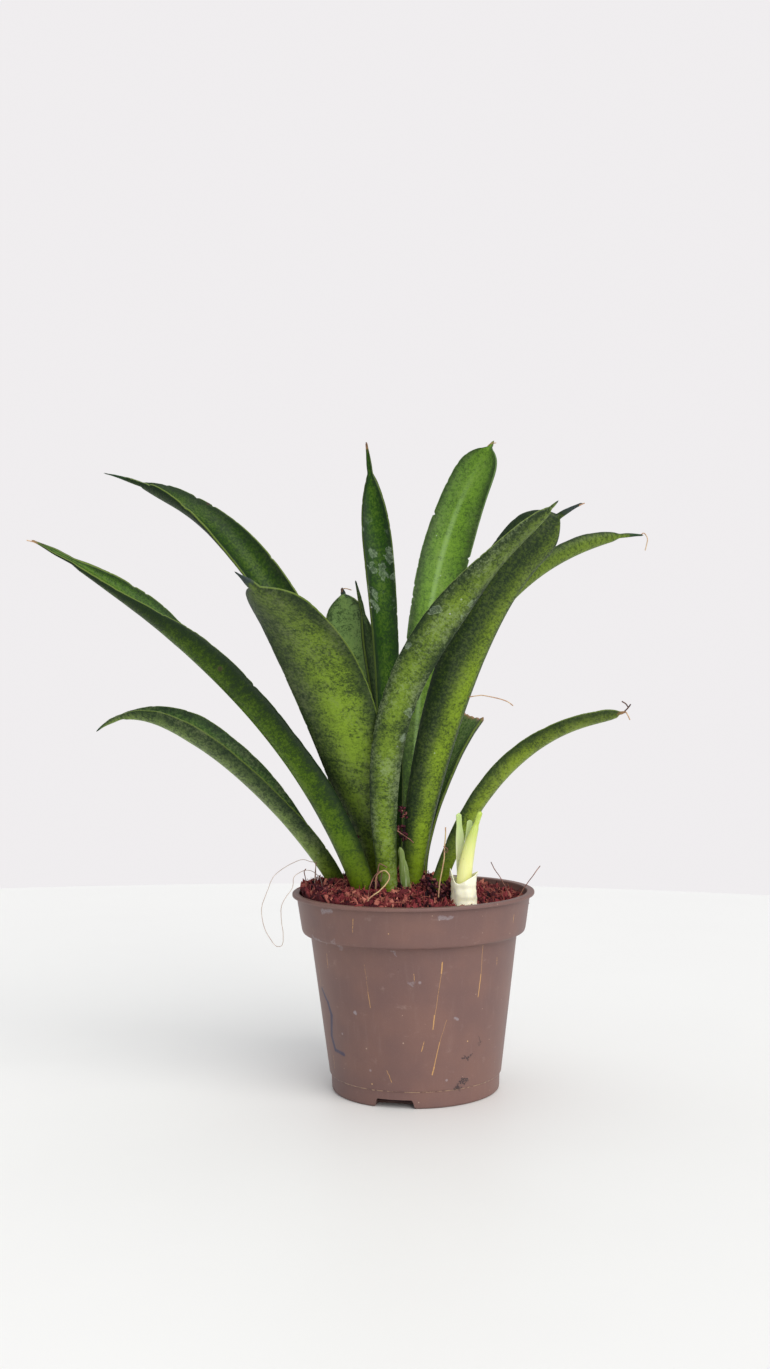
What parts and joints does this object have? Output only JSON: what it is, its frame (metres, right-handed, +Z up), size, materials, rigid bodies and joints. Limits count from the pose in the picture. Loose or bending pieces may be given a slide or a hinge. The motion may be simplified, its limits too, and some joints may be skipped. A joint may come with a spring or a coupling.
{
  "type": "potted snake plant",
  "caption": "Small snake plant with long channelled mottled leaves and a young white shoot, growing in coir mix in a round plastic nursery pot.",
  "frame": {"origin": "centre of the pot's flat underside, on the surface that the pot stands on", "axes": "+Z up along the pot's axis, -Y towards the front of the plant, +X to the right of the plant seen from the front"},
  "size_m": [0.2257, 0.1237, 0.2482],
  "materials": {
    "pot_plastic": "moulded taupe-brown plastic, satin, lightly scratched",
    "coir_mix": "damp reddish-brown coir chips and fibres",
    "leaf": "waxy mottled green leaf with a paler middle and dark cross bands",
    "base_sheath": "dry pale green papery sheath",
    "pup_sheath": "fleshy cream-white sheath, slightly glossy",
    "pup_shoot": "young yellow-green leaf, smooth"
  },
  "bodies": {
    "root": {"pot": "pot_plastic", "soil": "coir_mix", "leaf_low_left": "leaf", "leaf_long_left": "leaf", "leaf_upper_left": "leaf", "leaf_wide_front": "leaf", "leaf_front_middle": "leaf", "leaf_front_right": "leaf", "leaf_centre_spear": "leaf", "leaf_tall_right": "leaf", "leaf_right_upper": "leaf", "leaf_low_right": "leaf", "leaf_short_back": "leaf", "leaf_narrow_back": "leaf", "leaf_cut_back": "leaf", "base_sheath": "base_sheath", "pup_sheath": "pup_sheath", "pup_shoot": "pup_shoot", "pup_leaflet_left": "pup_shoot", "pup_leaflet_middle": "pup_shoot"}
  },
  "joints": []
}
